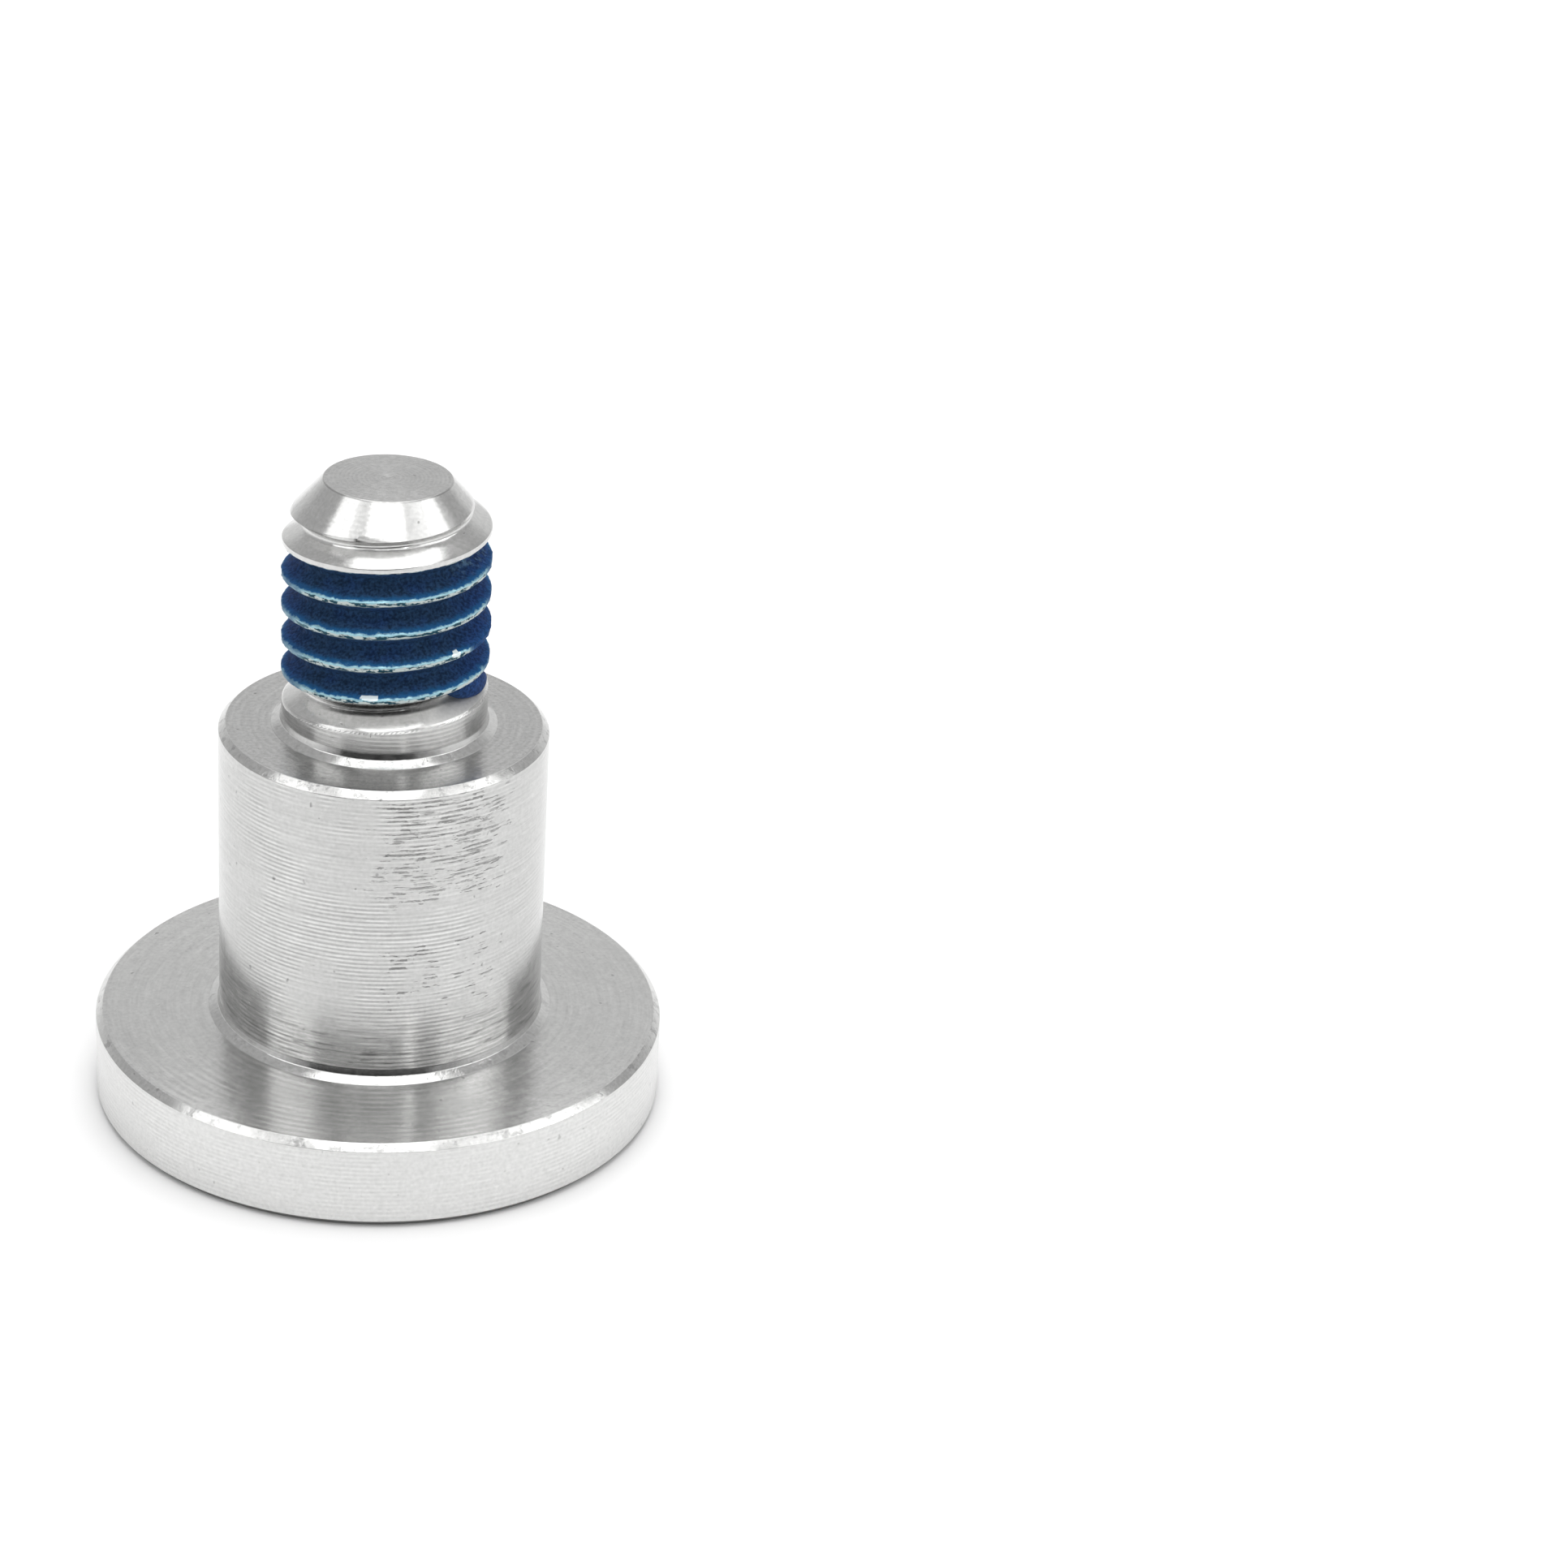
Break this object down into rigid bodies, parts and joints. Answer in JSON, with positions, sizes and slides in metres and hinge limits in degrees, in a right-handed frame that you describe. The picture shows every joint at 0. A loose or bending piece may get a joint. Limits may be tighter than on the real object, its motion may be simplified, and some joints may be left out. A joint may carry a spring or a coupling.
{
  "type": "shoulder bolt",
  "caption": "Turned metal shoulder bolt with a low round head, a precision shoulder, a short threaded end and a blue nylon locking patch on the thread.",
  "frame": {"origin": "centre of the head's outer face, which the bolt stands on", "axes": "+Z runs along the bolt's axis from the head to the threaded tip; X and Y are square to it, and the view of the picture looks roughly along +Y"},
  "size_m": [0.0168, 0.0168, 0.0196],
  "materials": {
    "turned_metal": "bright stainless steel straight from the lathe, with fine feed lines and a few torn tool marks on the shoulder",
    "blue_nylon": "matte deep blue nylon film fused into the thread, worn thin and pale on the crests"
  },
  "bodies": {
    "root": {"bolt": "turned_metal", "locking_patch": "blue_nylon"}
  },
  "joints": []
}
